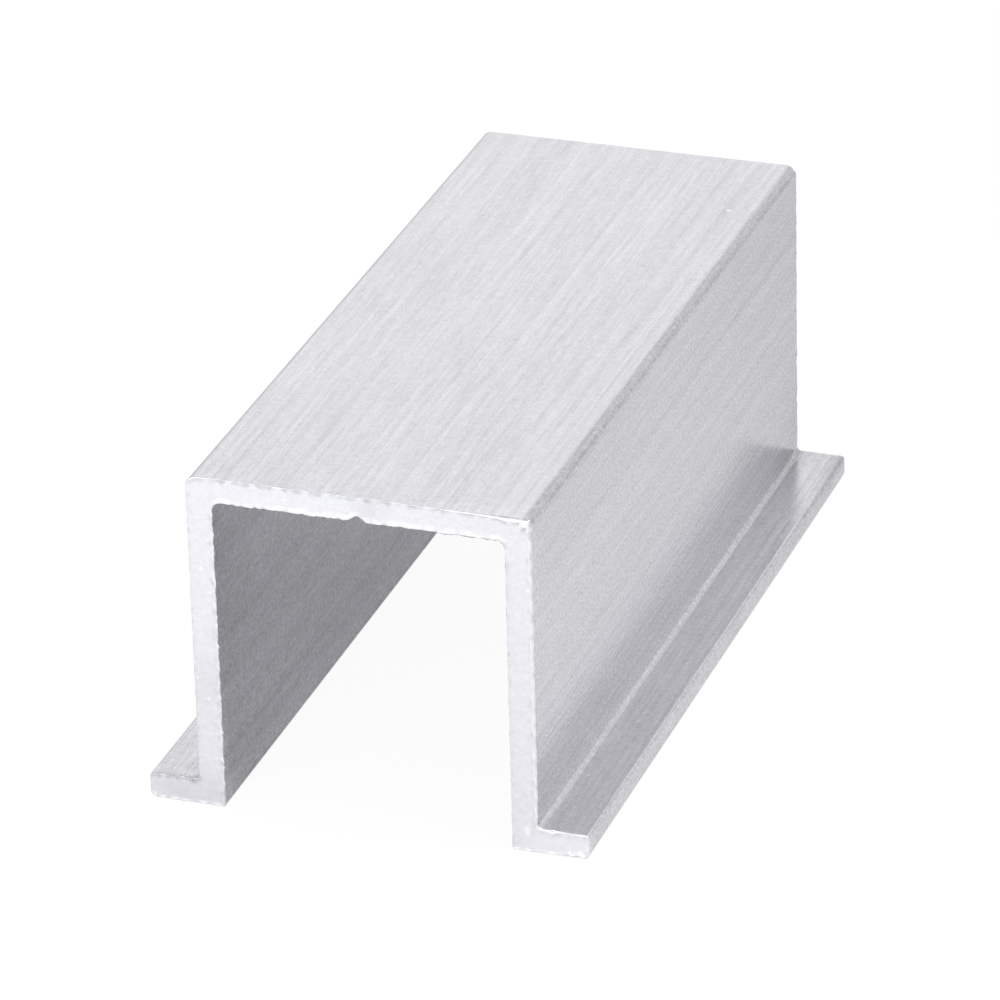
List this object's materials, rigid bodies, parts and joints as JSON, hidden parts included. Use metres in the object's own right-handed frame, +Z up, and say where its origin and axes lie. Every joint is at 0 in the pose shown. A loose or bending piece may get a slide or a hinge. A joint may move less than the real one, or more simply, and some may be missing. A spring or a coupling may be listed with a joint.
{
  "type": "aluminium hat-section extrusion",
  "caption": "Sawn length of aluminium extrusion: a channel open underneath, with narrow lips turned outwards at its feet and a drill line inside.",
  "frame": {"origin": "middle of the footprint, on the underside of the two lips", "axes": "+Y along the extrusion, +Z up from the lips to the web, +X across the section"},
  "size_m": [0.052, 0.1, 0.041],
  "materials": {
    "mill_aluminium": "mill finish with fine die lines along the length; both ends as sawn"
  },
  "bodies": {
    "root": {"hat_profile": "mill_aluminium"}
  },
  "joints": []
}
